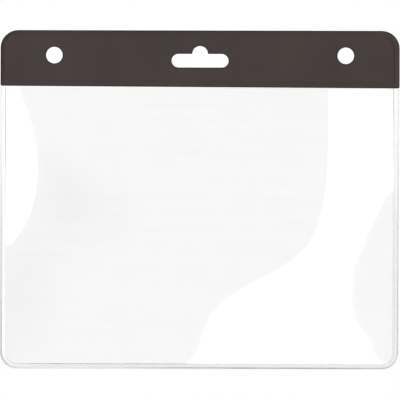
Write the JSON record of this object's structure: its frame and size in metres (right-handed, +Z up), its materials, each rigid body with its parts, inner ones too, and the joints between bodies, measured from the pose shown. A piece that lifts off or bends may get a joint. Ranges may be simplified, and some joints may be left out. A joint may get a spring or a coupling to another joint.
{
  "type": "badge holder",
  "caption": "Landscape soft vinyl badge holder: a clear welded pocket under a dark header bar with a strap slot and round clip holes, open at the slit below the bar.",
  "frame": {"origin": "the middle of the strap slot, halfway through the back film", "axes": "+Z up as it hangs, +X along the header towards the right as seen from the front, +Y towards the back; the front faces -Y"},
  "size_m": [0.112, 0.0016, 0.095],
  "materials": {
    "clear_film": "clear calendered soft PVC film, glossy, 0.30 mm",
    "bar_film": "opaque dark brown soft PVC film, satin, 0.35 mm",
    "weld_bead": "clear PVC melted and pressed into a bead by high-frequency welding"
  },
  "bodies": {
    "root": {"back_film": "clear_film", "colour_bar": "bar_film", "pocket_weld": "weld_bead", "front_window": "clear_film"}
  },
  "joints": []
}
